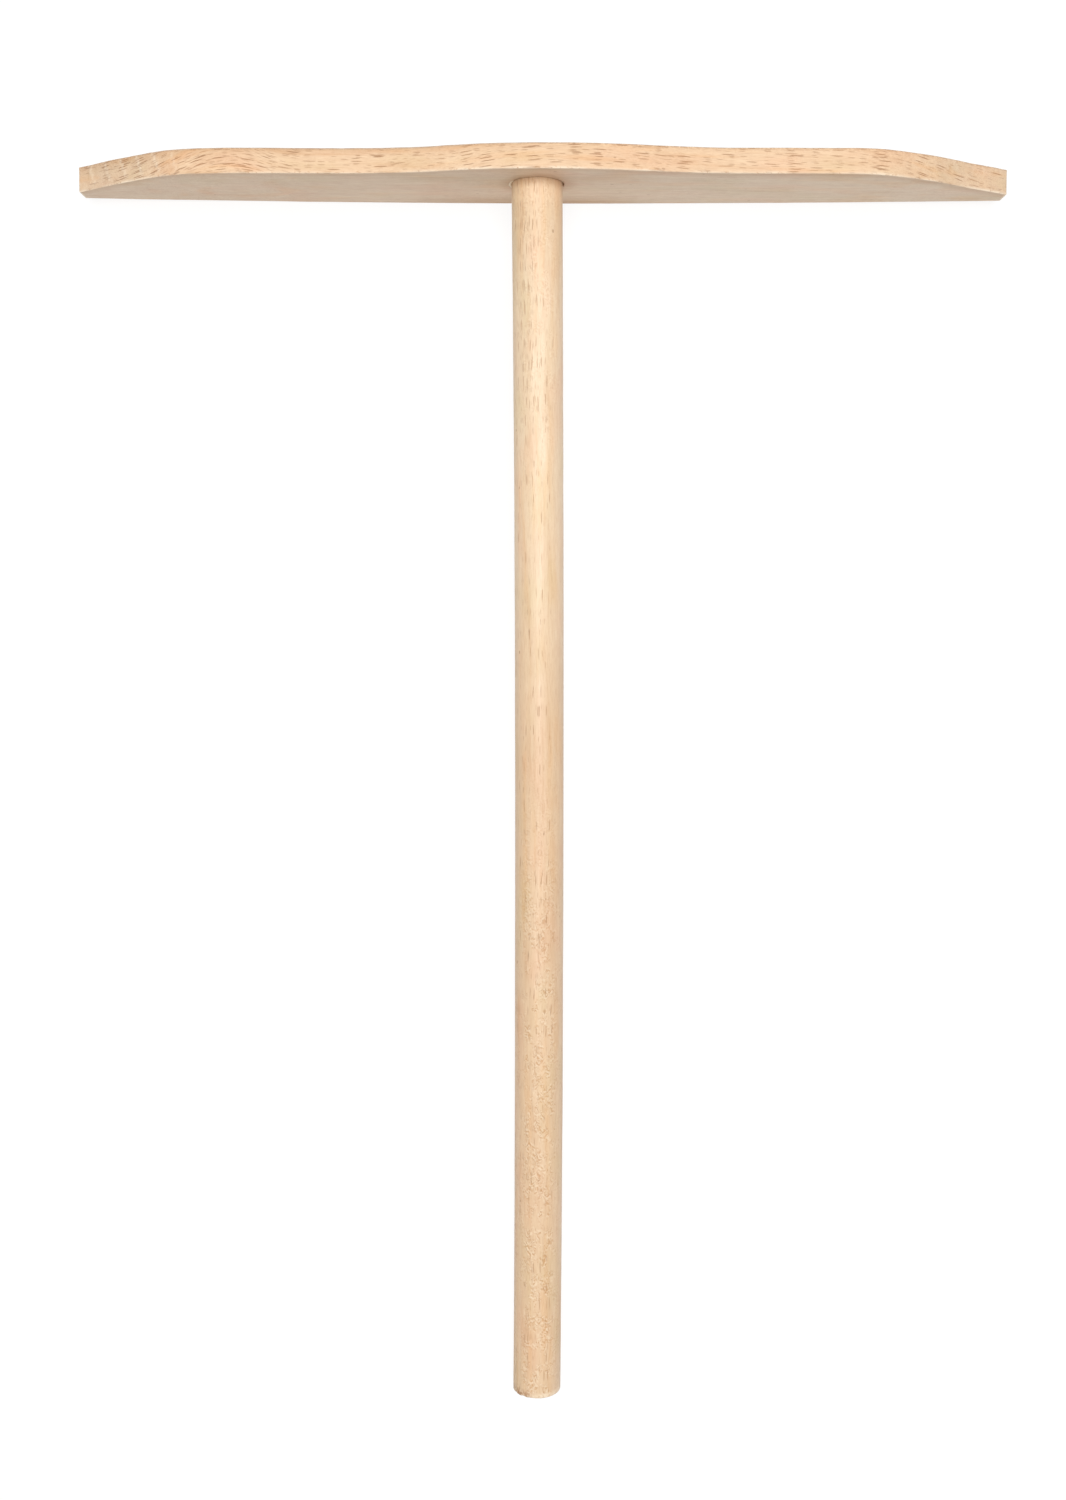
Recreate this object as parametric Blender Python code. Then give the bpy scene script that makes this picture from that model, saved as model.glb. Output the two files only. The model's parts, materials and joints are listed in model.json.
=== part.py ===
"""T-shaped wooden batter spreader: a flat shaped blade across the end of a round dowel handle.

It lies as it does on a worktop, resting on the blade's long spreading edge and the handle's free end.
Design frame, before it is laid down: X along the blade, Y along the dowel towards the blade,
Z up towards the crown, with the origin on the dowel's axis at the blade's inner face.
Metres throughout.
"""
import math

import bmesh
import bpy
from mathutils import Vector

MM = 0.001

# dowel handle
DOWEL_DIAMETER = 10.0 * MM
DOWEL_LENGTH = 250.0 * MM
DOWEL_END_ROUND = 0.5 * MM
DOWEL_FACE_CHAMFER = 0.15 * MM

# blade
BLADE_LENGTH = 186.0 * MM
BLADE_THICKNESS = 4.9 * MM
BLADE_SHIFT = 1.2 * MM  # blade's middle lies this far from the bore, towards +X
EDGE_DROP = 14.4 * MM  # spreading edge below the dowel's axis, at mid length
EDGE_BOW = 3.1 * MM  # how much higher the spreading edge lies at its ends
END_DEPTH = 4.7 * MM  # height of the square-cut ends
CROWN_RISE = 11.3 * MM  # top of the crown above the dowel's axis
PLATEAU_RISE = 7.7 * MM  # level stretch on each side of the crown
CROWN_HALF_WIDTH = 38.8 * MM
CROWN_RADIUS = 103.0 * MM
SHOULDER_RADIUS = 39.0 * MM
TAPER_ANGLE = math.radians(31.2)
ARRIS_RADIUS = 0.4 * MM

# glued joint
BORE_CLEARANCE = 0.3 * MM  # radial
GLUE_GAP = 0.05 * MM  # radial, to the wood on both sides
GLUE_RECESS = 1.2 * MM  # below the blade's inner face
GLUE_BACK_RECESS = 0.3 * MM  # below the blade's outer face

ROUND_SEGMENTS = 64
END_ROUND_STEPS = 4
ARRIS_SEGMENTS = 3
EDGE_CHORDS = 25  # odd, so that one flat lies at mid length
ARC_STEP = math.radians(2.0)
SMOOTH_ANGLE = math.radians(35.0)

DOWEL_RADIUS = DOWEL_DIAMETER / 2
BORE_RADIUS = DOWEL_RADIUS + BORE_CLEARANCE
REACH = DOWEL_LENGTH - BLADE_THICKNESS  # dowel's length in front of the blade


def clear_scene():
    """Removes whatever objects the file opened with."""
    for thing in list(bpy.data.objects):
        bpy.data.objects.remove(thing, do_unlink=True)


def wood(name, colour, roughness):
    """A Principled material."""
    material = bpy.data.materials.new(name)
    material.use_nodes = True
    shader = material.node_tree.nodes["Principled BSDF"]
    shader.inputs["Base Color"].default_value = (*colour, 1.0)
    shader.inputs["Roughness"].default_value = roughness
    shader.inputs["Metallic"].default_value = 0.0
    material.diffuse_color = (*colour, 1.0)
    return material


def add_object(name, bm, material, parent):
    """Turns a bmesh into a named object with its own material, under a parent."""
    bmesh.ops.recalc_face_normals(bm, faces=bm.faces)
    mesh = bpy.data.meshes.new(name)
    bm.to_mesh(mesh)
    bm.free()
    mesh.materials.append(material)
    mesh.shade_smooth()
    mesh.set_sharp_from_angle(angle=SMOOTH_ANGLE)
    thing = bpy.data.objects.new(name, mesh)
    thing.parent = parent
    bpy.context.scene.collection.objects.link(thing)
    return thing


def arc(centre, radius, start, end):
    """Points along an arc in the XZ plane, as (x, z), both ends included."""
    steps = max(1, math.ceil(abs(end - start) / ARC_STEP))
    angles = [start + (end - start) * i / steps for i in range(steps + 1)]
    return [(centre[0] + radius * math.cos(a), centre[1] + radius * math.sin(a)) for a in angles]


def upper_half():
    """The blade's upper outline from the crown's top to the square end, as (x, z) from the blade's middle.

    A convex crown arc runs into a hollow arc and a level stretch; a shoulder arc then turns down into
    the straight taper, which meets the end's upper corner.
    """
    rise = CROWN_RISE - PLATEAU_RISE
    turn = 2 * math.atan2(rise, CROWN_HALF_WIDTH)
    hollow_radius = CROWN_HALF_WIDTH / math.sin(turn) - CROWN_RADIUS
    up = math.pi / 2
    crown = arc((0.0, CROWN_RISE - CROWN_RADIUS), CROWN_RADIUS, up, up - turn)
    hollow = arc((CROWN_HALF_WIDTH, PLATEAU_RISE + hollow_radius), hollow_radius, -up - turn, -up)
    end_corner = (BLADE_LENGTH / 2, EDGE_BOW - EDGE_DROP + END_DEPTH)
    drop = SHOULDER_RADIUS - (end_corner[1] - PLATEAU_RISE + SHOULDER_RADIUS) * math.cos(TAPER_ANGLE)
    shoulder_x = end_corner[0] - drop / math.sin(TAPER_ANGLE)
    shoulder_centre = (shoulder_x, PLATEAU_RISE - SHOULDER_RADIUS)
    shoulder = arc(shoulder_centre, SHOULDER_RADIUS, up, up - TAPER_ANGLE)
    return crown + hollow[1:] + shoulder + [end_corner]


def spreading_edge():
    """The gently bowed lower outline from +X to -X, as (x, z) from the blade's middle."""
    half = BLADE_LENGTH / 2
    xs = [half - BLADE_LENGTH * i / EDGE_CHORDS for i in range(EDGE_CHORDS + 1)]
    return [(x, EDGE_BOW * (x / half) ** 2 - EDGE_DROP) for x in xs]


def blade_outline():
    """The whole outline, clockwise from the crown's top seen from -Y."""
    right = upper_half()
    left = [(-x, z) for x, z in reversed(right[1:])]
    return right + spreading_edge() + left


def ring_body(profile, closed):
    """Turns a profile of (radius, y) about the Y axis into a closed body.

    An open profile runs from axis to axis; a closed one is the section of a ring.
    """
    bm = bmesh.new()
    verts = [bm.verts.new((radius, y, 0.0)) for radius, y in profile]
    edges = [bm.edges.new(pair) for pair in zip(verts, verts[1:])]
    if closed:
        edges.append(bm.edges.new((verts[-1], verts[0])))
    bmesh.ops.spin(
        bm,
        geom=verts + edges,
        cent=(0.0, 0.0, 0.0),
        axis=(0.0, 1.0, 0.0),
        angle=math.tau,
        steps=ROUND_SEGMENTS,
        use_merge=True,
        use_duplicate=False,
    )
    bmesh.ops.remove_doubles(bm, verts=bm.verts, dist=0.001 * MM)
    return bm


def make_bore_cutter(parent):
    """The drill that makes the blade's bore; it is a guide and isn't part of the object."""
    back = 2 * BLADE_THICKNESS
    profile = [(0.0, -back), (BORE_RADIUS, -back), (BORE_RADIUS, back), (0.0, back)]
    cutter = add_object("bore_cutter", ring_body(profile, closed=False), wood("cutter", (1, 0, 0), 1.0), parent)
    cutter.hide_render = True
    cutter.display_type = "WIRE"
    return cutter


def make_blade(parent):
    """Flat board of even thickness: shaped outline, eased arrises and a bore right through."""
    bm = bmesh.new()
    front = bm.faces.new([bm.verts.new((x + BLADE_SHIFT, 0.0, z)) for x, z in blade_outline()])
    extruded = bmesh.ops.extrude_face_region(bm, geom=[front])["geom"]
    back = [v for v in extruded if isinstance(v, bmesh.types.BMVert)]
    bmesh.ops.translate(bm, verts=back, vec=Vector((0.0, BLADE_THICKNESS, 0.0)))
    blade = add_object("blade", bm, wood("beech_board", (0.78, 0.58, 0.40), 0.6), parent)

    ease = blade.modifiers.new("eased_arrises", "BEVEL")
    ease.width = ARRIS_RADIUS
    ease.segments = ARRIS_SEGMENTS
    ease.limit_method = "ANGLE"
    ease.angle_limit = SMOOTH_ANGLE

    bore = blade.modifiers.new("bore", "BOOLEAN")
    bore.operation = "DIFFERENCE"
    bore.solver = "EXACT"
    bore.object = make_bore_cutter(parent)
    return blade


def make_handle(parent):
    """Round dowel: free end rounded over, other end flush with the blade's outer face."""
    tip = -REACH
    round_steps = range(END_ROUND_STEPS + 1)
    corner = (DOWEL_RADIUS - DOWEL_END_ROUND, tip + DOWEL_END_ROUND)
    angles = [math.pi / 2 * (i / END_ROUND_STEPS - 1) for i in round_steps]
    rounded = [
        (corner[0] + DOWEL_END_ROUND * math.cos(a), corner[1] + DOWEL_END_ROUND * math.sin(a)) for a in angles
    ]
    flush = [
        (DOWEL_RADIUS, BLADE_THICKNESS - DOWEL_FACE_CHAMFER),
        (DOWEL_RADIUS - DOWEL_FACE_CHAMFER, BLADE_THICKNESS),
    ]
    profile = [(0.0, tip)] + rounded + flush + [(0.0, BLADE_THICKNESS)]
    return add_object("handle", ring_body(profile, closed=False), wood("beech_dowel", (0.80, 0.61, 0.42), 0.6), parent)


def make_glue(parent):
    """The sleeve of hardened glue that fills the clearance between dowel and bore."""
    inner = DOWEL_RADIUS + GLUE_GAP
    outer = BORE_RADIUS - GLUE_GAP
    front = GLUE_RECESS
    back = BLADE_THICKNESS - GLUE_BACK_RECESS
    profile = [(inner, front), (outer, front), (outer, back), (inner, back)]
    return add_object("glue_sleeve", ring_body(profile, closed=True), wood("wood_glue", (0.74, 0.58, 0.36), 0.3), parent)


def lying_tilt():
    """Angle about X at which the blade's lower inner arris and the dowel's free end both touch a level top."""
    step = ARRIS_RADIUS - DOWEL_END_ROUND
    run = REACH + step
    climb = DOWEL_RADIUS - EDGE_DROP + step
    return math.asin(step / math.hypot(run, climb)) - math.atan2(climb, run)


def lay_down(spreader):
    """Turns the assembly to its rest and puts the bottom centre of its box at the world's origin."""
    tilt = lying_tilt()
    sine, cosine = math.sin(tilt), math.cos(tilt)
    tip_y = -REACH * cosine - (DOWEL_RADIUS - DOWEL_END_ROUND) * sine
    back_y = BLADE_THICKNESS * cosine + (EDGE_DROP - ARRIS_RADIUS) * sine
    arris_z = ARRIS_RADIUS * sine - (EDGE_DROP - ARRIS_RADIUS) * cosine - ARRIS_RADIUS
    spreader.rotation_euler = (tilt, 0.0, 0.0)
    spreader.location = (-BLADE_SHIFT, -(tip_y + back_y) / 2, -arris_z)


def main():
    clear_scene()
    spreader = bpy.data.objects.new("spreader", None)
    bpy.context.scene.collection.objects.link(spreader)
    make_blade(spreader)
    make_handle(spreader)
    make_glue(spreader)
    lay_down(spreader)


main()
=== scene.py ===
"""Looks of the wooden crepe batter spreader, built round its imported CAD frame.

The spreader is a thin beech board, the blade, set across the end of a round beech dowel, the handle,
and held in its bore by a sleeve of glue. Each of the three has a class that builds its mesh and gives
it a finish. Every size is in millimetres, in the maker's own axes: X along the blade, Y along the dowel
towards the blade, Z up towards the blade's crown, from the dowel's axis at the blade's inner face.
"""

from __future__ import annotations

import json
import logging
import math
from dataclasses import dataclass
from enum import Enum
from typing import Sequence

import bmesh
import bpy
import numpy as np
from mathutils import Matrix, Vector


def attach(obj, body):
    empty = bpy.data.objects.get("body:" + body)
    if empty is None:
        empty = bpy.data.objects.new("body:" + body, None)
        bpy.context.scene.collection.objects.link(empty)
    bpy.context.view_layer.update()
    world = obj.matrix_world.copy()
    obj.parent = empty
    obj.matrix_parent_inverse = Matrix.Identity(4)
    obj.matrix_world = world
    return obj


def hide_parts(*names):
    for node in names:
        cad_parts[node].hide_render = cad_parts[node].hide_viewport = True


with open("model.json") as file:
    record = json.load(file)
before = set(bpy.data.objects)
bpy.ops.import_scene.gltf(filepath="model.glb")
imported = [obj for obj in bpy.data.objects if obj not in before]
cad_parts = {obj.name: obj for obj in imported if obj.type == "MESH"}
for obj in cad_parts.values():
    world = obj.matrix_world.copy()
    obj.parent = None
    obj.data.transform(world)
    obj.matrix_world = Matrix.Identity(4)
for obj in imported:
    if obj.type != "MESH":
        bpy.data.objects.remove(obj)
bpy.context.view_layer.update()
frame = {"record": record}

MM = 0.001
BODY = "root"
GRAIN_PLACE = "grain_place"
SHARP_ANGLE = math.radians(50)
Colour = tuple[float, float, float, float]
WHITE: Colour = (1.0, 1.0, 1.0, 1.0)
Triple = tuple[float, float, float]
Socket = bpy.types.NodeSocket
Feed = Socket | float | tuple[float, ...]
log = logging.getLogger("spreader")


def srgb(red: float, green: float, blue: float) -> Colour:
    """Converts display values to a linear colour.

    Args:
        red: Red, 0 to 255.
        green: Green, 0 to 255.
        blue: Blue, 0 to 255.

    Returns:
        The linear colour, with an alpha of 1.
    """
    shares = [value / 255 for value in (red, green, blue)]
    linear = [s / 12.92 if s <= 0.04045 else ((s + 0.055) / 1.055) ** 2.4 for s in shares]
    return (*linear, 1.0)


def smooth_step(low: float, high: float, value: np.ndarray) -> np.ndarray:
    """Rises smoothly from 0 at low to 1 at high.

    Args:
        low: Where the rise starts.
        high: Where it ends; below low, the step falls instead.
        value: The numbers to read it at.

    Returns:
        The step at each number.
    """
    share = np.clip((value - low) / (high - low), 0.0, 1.0)
    return share * share * (3 - 2 * share)


def arc_drop(radius: float, run: np.ndarray) -> np.ndarray:
    """How far an arc falls away from its tangent.

    Args:
        radius: The arc's radius.
        run: Distances along the tangent from where they touch.

    Returns:
        The drop at each distance.
    """
    return radius * (1 - np.sqrt(1 - (run / radius) ** 2))


def ripple(places: np.ndarray, pitch: Sequence[float], seed: int) -> np.ndarray:
    """Smooth value noise in three dimensions.

    Args:
        places: Points, one per row, in millimetres.
        pitch: Size of one bump along each axis, in millimetres.
        seed: Chooses the pattern.

    Returns:
        The noise at each point, from -1 to 1.
    """
    scaled = places / np.asarray(pitch, float)
    cell = np.floor(scaled).astype(np.int64)
    part = scaled - cell
    part = part * part * (3 - 2 * part)
    total = np.zeros(len(places))
    for corner in np.ndindex(2, 2, 2):
        at = cell + corner
        mixed = (at[:, 0] * 73856093) ^ (at[:, 1] * 19349663) ^ (at[:, 2] * 83492791) ^ (seed * 2654435761)
        mixed = (mixed ^ (mixed >> 13)) * 1274126177 & 0x7FFFFFFF
        height = ((mixed ^ (mixed >> 16)) & 0xFFFF) / 32767.5 - 1.0
        weight = np.prod(np.where(np.array(corner) == 1, part, 1 - part), axis=1)
        total += height * weight
    return total


class Rest:
    """How the spreader lies on the worktop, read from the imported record's mounts."""

    def __init__(self, record: dict) -> None:
        """Finds the turn and the place of the maker's axes.

        Args:
            record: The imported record.
        """
        mounts = {mount["name"]: mount for mount in record["mounts"]}
        tip = Vector(mounts["handle_end"]["pos_m"])
        along = -Vector(mounts["handle_end"]["axis"]).normalized()
        back = Vector(mounts["outer_face"]["pos_m"])
        self.tilt = math.atan2(along.z, along.y)
        self.dowel_length = (back - tip).dot(along) / MM
        origin = tip + along * (self.dowel_length - BladeShape.thickness) * MM
        self.matrix = Matrix.Translation(origin) @ Matrix.Rotation(self.tilt, 4, "X")
        self.from_mm = self.matrix @ Matrix.Scale(MM, 4)

    def to_row(self, places: np.ndarray) -> np.ndarray:
        """Takes maker's millimetres to the row's metres."""
        turn = np.array(self.from_mm)
        return places @ turn[:3, :3].T + turn[:3, 3]

    def to_maker(self, places: np.ndarray) -> np.ndarray:
        """Takes the row's metres to maker's millimetres."""
        turn = np.array(self.from_mm.inverted())
        return places @ turn[:3, :3].T + turn[:3, 3]


@dataclass(frozen=True)
class BladeShape:
    """The blade's driving sizes, in millimetres, as the CAD has them."""

    length: float = 186.0
    thickness: float = 4.9
    shift: float = 1.2
    edge_drop: float = 14.4
    edge_bow: float = 3.1
    end_depth: float = 4.7
    crown_rise: float = 11.3
    plateau_rise: float = 7.7
    crown_half_width: float = 38.8
    crown_radius: float = 103.0
    shoulder_radius: float = 39.0
    taper_angle: float = math.radians(31.2)
    hand_shaping: float = 0.35
    shoulder_lift: float = 0.5

    @property
    def half(self) -> float:
        """Half the blade's length."""
        return self.length / 2

    def lower(self, x: np.ndarray) -> np.ndarray:
        """Height of the spreading edge.

        Args:
            x: Distances from the blade's middle.

        Returns:
            The height at each distance.
        """
        return self.edge_bow * (x / self.half) ** 2 - self.edge_drop

    def upper(self, x: np.ndarray) -> np.ndarray:
        """Height of the crowned edge: crown, hollow, level stretch, shoulder and straight taper.

        Args:
            x: Distances from the blade's middle.

        Returns:
            The height at each distance.
        """
        away = np.abs(x)
        turn = 2 * math.atan2(self.crown_rise - self.plateau_rise, self.crown_half_width)
        hollow = self.crown_half_width / math.sin(turn) - self.crown_radius
        corner = self.edge_bow - self.edge_drop + self.end_depth
        drop = corner - self.plateau_rise + self.shoulder_radius
        reach = self.shoulder_radius - drop * math.cos(self.taper_angle)
        shoulder = self.half - reach / math.sin(self.taper_angle)
        taper = shoulder + self.shoulder_radius * math.sin(self.taper_angle)
        crown_end = self.crown_radius * math.sin(turn)
        on_crown = away <= crown_end
        in_hollow = (away > crown_end) & (away < self.crown_half_width)
        on_shoulder = (away > shoulder) & (away <= taper)
        on_taper = away > taper
        height = np.full_like(away, self.plateau_rise)
        height[on_crown] = self.crown_rise - arc_drop(self.crown_radius, away[on_crown])
        height[in_hollow] += arc_drop(hollow, self.crown_half_width - away[in_hollow])
        height[on_shoulder] -= arc_drop(self.shoulder_radius, away[on_shoulder] - shoulder)
        height[on_taper] = corner + (self.half - away[on_taper]) * math.tan(self.taper_angle)
        shaped = smooth_step(10.0, 25.0, away) * smooth_step(72.0, 60.0, away)
        lifted = smooth_step(64.0, 74.0, away) * smooth_step(91.0, 84.0, away)
        return height + (self.hand_shaping * shaped - self.shoulder_lift * lifted) * np.sign(x)


def grid_faces(rings: int, points: int) -> np.ndarray:
    """Quads that join rings of equally many points, each ring closed.

    Args:
        rings: How many rings.
        points: How many points each has.

    Returns:
        One row of four point numbers per quad.
    """
    row = np.arange(rings - 1)[:, None] * points
    here = np.arange(points)[None, :]
    after = (here + 1) % points
    quads = np.stack([row + here, row + after, row + points + after, row + points + here], axis=-1)
    return quads.reshape(-1, 4)


def mesh_from(name: str, rings: np.ndarray, looped: bool = False) -> bpy.types.Mesh:
    """A closed mesh from rings of points.

    Args:
        name: The mesh's name.
        rings: Points as rings, points and coordinates.
        looped: Whether the last ring joins the first; if not, a face closes each of the two.

    Returns:
        The mesh, with its faces outwards.
    """
    count, points = rings.shape[:2]
    faces = grid_faces(count, points).tolist()
    last = (count - 1) * points
    if looped:
        closing = grid_faces(2, points)
        faces += np.where(closing < points, closing + last, closing - points).tolist()
    else:
        faces += [list(range(points)), list(range(last, last + points))]
    mesh = bpy.data.meshes.new(name)
    mesh.from_pydata(rings.reshape(-1, 3).tolist(), [], faces)
    bm = bmesh.new()
    bm.from_mesh(mesh)
    bmesh.ops.recalc_face_normals(bm, faces=bm.faces)
    bm.to_mesh(mesh)
    bm.free()
    return mesh


def read_points(mesh: bpy.types.Mesh) -> np.ndarray:
    """A mesh's points, one per row."""
    flat = np.zeros(len(mesh.vertices) * 3, np.float32)
    mesh.vertices.foreach_get("co", flat)
    return flat.reshape(-1, 3).astype(float)


def read_normals(mesh: bpy.types.Mesh) -> np.ndarray:
    """A mesh's point normals, one per row."""
    flat = np.zeros(len(mesh.vertices) * 3, np.float32)
    mesh.vertex_normals.foreach_get("vector", flat)
    return flat.reshape(-1, 3).astype(float)


def write_points(mesh: bpy.types.Mesh, places: np.ndarray) -> None:
    """Moves a mesh's points.

    Args:
        mesh: The mesh.
        places: Its new points, one per row.
    """
    mesh.vertices.foreach_set("co", places.astype(np.float32).ravel())
    mesh.update()


def write_masks(mesh: bpy.types.Mesh, **masks: np.ndarray) -> None:
    """Stores a number per point under each name, for the finish to read.

    Args:
        mesh: The mesh.
        **masks: One number per point, under each mask's name.
    """
    for name, values in masks.items():
        mask = mesh.attributes.new(name, "FLOAT", "POINT")
        mask.data.foreach_set("value", values.astype(np.float32))


def write_grain(mesh: bpy.types.Mesh, places: np.ndarray) -> None:
    """Stores each point's place in the wood, in maker's millimetres, for the grain to follow.

    Args:
        mesh: The mesh.
        places: One place per point.
    """
    grain = mesh.attributes.new(GRAIN_PLACE, "FLOAT_VECTOR", "POINT")
    grain.data.foreach_set("vector", places.astype(np.float32).ravel())


class Recipe:
    """Writes a material's nodes, one short call per node."""

    def __init__(self, name: str) -> None:
        """Starts a material with an output and a Principled shader.

        Args:
            name: The material's name.
        """
        self.material = bpy.data.materials.new(name)
        self.material.use_nodes = True
        self.tree = self.material.node_tree
        self.shader = self.tree.nodes["Principled BSDF"]

    def node(
        self, kind: str, inputs: dict[int | str, Feed] | None = None, **settings: object
    ) -> bpy.types.Node:
        """Adds a node.

        Args:
            kind: The node's type.
            inputs: What its inputs get, by the input's number or name.
            **settings: Properties to set on it.

        Returns:
            The node.
        """
        made = self.tree.nodes.new(kind)
        for key, value in settings.items():
            setattr(made, key, value)
        for key, value in (inputs or {}).items():
            self.feed(made.inputs[key], value)
        return made

    def feed(self, socket: Socket, value: Feed) -> None:
        """Links a socket to another, or sets its number or colour.

        Args:
            socket: The input.
            value: An output socket, a number or a tuple.
        """
        if isinstance(value, Socket):
            self.tree.links.new(value, socket)
        else:
            socket.default_value = value

    def surface(self, inputs: dict[str, Feed]) -> None:
        """Feeds the shader's own inputs, by name."""
        for name, value in inputs.items():
            self.feed(self.shader.inputs[name], value)

    def read(self, name: str, output: str = "Fac") -> Socket:
        """Reads one of the mesh's attributes."""
        return self.node("ShaderNodeAttribute", attribute_name=name).outputs[output]

    def maths(
        self, operation: str, first: Feed, second: Feed = 0.0, clamp: bool = False
    ) -> Socket:
        """Adds one sum.

        Args:
            operation: Blender's name for it.
            first: Its first number or socket.
            second: Its second number or socket.
            clamp: Whether the result is kept between 0 and 1.

        Returns:
            The result's socket.
        """
        made = self.node("ShaderNodeMath", {0: first, 1: second}, operation=operation, use_clamp=clamp)
        return made.outputs[0]

    def times(self, first: Feed, second: Feed) -> Socket:
        """Multiplies two readings."""
        return self.maths("MULTIPLY", first, second)

    def plus(self, first: Feed, second: Feed, clamp: bool = False) -> Socket:
        """Adds two readings."""
        return self.maths("ADD", first, second, clamp)

    def less(self, first: Feed, second: Feed) -> Socket:
        """Takes the second reading from the first."""
        return self.maths("SUBTRACT", first, second)

    def stretch(
        self, place: Feed, pitch: Sequence[float], offset: Sequence[float] = (0, 0, 0)
    ) -> Socket:
        """Scales a place so that one unit is one feature of the pattern.

        Args:
            place: The place's socket.
            pitch: The feature's size along each axis, in millimetres.
            offset: What is added afterwards, to choose another stretch of the pattern.

        Returns:
            The scaled place's socket.
        """
        scale = tuple(1 / size for size in pitch)
        inputs = {"Vector": place, "Scale": scale, "Location": tuple(offset)}
        return self.node("ShaderNodeMapping", inputs, vector_type="POINT").outputs[0]

    def clouds(
        self, place: Feed, detail: float = 2.0, roughness: float = 0.5, distortion: float = 0.0
    ) -> Socket:
        """Noise around 0.5.

        Args:
            place: The scaled place's socket.
            detail: How many finer layers it has.
            roughness: How strong they are.
            distortion: How much it swirls.

        Returns:
            The noise's socket.
        """
        inputs = {"Vector": place, "Scale": 1.0, "Detail": detail, "Roughness": roughness}
        return self.node("ShaderNodeTexNoise", inputs | {"Distortion": distortion}).outputs["Fac"]

    def ramp(self, value: Feed, low: float, high: float) -> Socket:
        """A smooth step between two readings, from 0 to 1.

        Args:
            value: The reading's socket.
            low: The reading that gives 0.
            high: The reading that gives 1; it may be below low.

        Returns:
            The step's socket.
        """
        first, last = (0.0, 1.0) if low < high else (1.0, 0.0)
        inputs = {"Value": value, "From Min": min(low, high), "From Max": max(low, high)}
        inputs |= {"To Min": first, "To Max": last}
        made = self.node("ShaderNodeMapRange", inputs, interpolation_type="SMOOTHSTEP")
        return made.outputs["Result"]

    def dashes(
        self, place: Feed, pitch: Sequence[float], share: float, more: Feed = 0.0, size: float = 0.38
    ) -> Socket:
        """Scattered spots or strokes, some faint and some strong.

        Args:
            place: The place's socket.
            pitch: Room that one stroke takes along each axis, in millimetres.
            share: How many of the places for a stroke have one, from 0 to 1.
            more: A reading that is added to the share.
            size: A stroke's radius as a share of its room.

        Returns:
            A socket that is 1 in the middle of a strong stroke and 0 outside.
        """
        inputs = {"Vector": self.stretch(place, pitch), "Scale": 1.0, "Randomness": 1.0}
        cells = self.node("ShaderNodeTexVoronoi", inputs, feature="F1")
        inside = self.ramp(cells.outputs["Distance"], size, size * 0.6)
        split = self.node("ShaderNodeSeparateColor", {0: cells.outputs["Color"]})
        drawn = self.plus(split.outputs[0], more)
        return self.times(inside, self.ramp(drawn, 1 - share, 1 - share * 0.5))

    def blend(
        self, share: Feed, first: Feed, second: Feed, mode: str = "MIX"
    ) -> Socket:
        """Mixes two colours.

        Args:
            share: How much of the second there is.
            first: A colour or its socket.
            second: A colour or its socket.
            mode: Blender's name for the way they mix.

        Returns:
            The mixed colour's socket.
        """
        inputs = {0: share, 6: first, 7: second}
        return self.node("ShaderNodeMix", inputs, data_type="RGBA", blend_type=mode).outputs[2]

    def tinted(self, share: Feed, colour: Feed, tint: Colour) -> Socket:
        """Multiplies a share of a tint into a colour."""
        return self.blend(share, colour, tint, "MULTIPLY")

    def relief(self, height: Feed, depth: float, under: Feed | None = None) -> Socket:
        """Turns a height into shading.

        Args:
            height: The height's socket, from 0 to 1.
            depth: What a height of 1 stands for, in millimetres.
            under: The normal that it adds to, if there is one.

        Returns:
            The normal's socket.
        """
        inputs = {"Strength": 1.0, "Distance": depth * MM, "Height": height}
        if under is not None:
            inputs["Normal"] = under
        return self.node("ShaderNodeBump", inputs).outputs[0]


class Part(Enum):
    """The CAD nodes that the pieces stand for, each with its material slot."""

    BLADE = ("blade", "beech_board")
    HANDLE = ("handle", "beech_dowel")
    GLUE = ("glue_sleeve", "wood_glue")

    def claim(self, piece: bpy.types.Object, finish: bpy.types.Material) -> None:
        """Gives a piece its finish, hangs it on the body and hides the CAD node that it stands for.

        Args:
            piece: The piece.
            finish: Its material.
        """
        node, slot = self.value
        piece.data.materials.clear()
        piece.data.materials.append(finish)
        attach(piece, BODY)
        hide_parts(node)
        log.info("%s: %d points, stands for %s", piece.name, len(piece.data.vertices), node)


@dataclass(frozen=True)
class Tones:
    """The colours of one cut of the wood, pale to deep."""

    pale: Colour
    middle: Colour
    deep: Colour

    def spread(self, recipe: Recipe, reading: Feed) -> Socket:
        """Colours a reading from pale, through middle, to deep.

        Args:
            recipe: The material's recipe.
            reading: The reading's socket.

        Returns:
            The colour's socket.
        """
        light = recipe.blend(recipe.ramp(reading, 0.32, 0.52), self.pale, self.middle)
        return recipe.blend(recipe.ramp(reading, 0.50, 0.72), light, self.deep)


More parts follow.
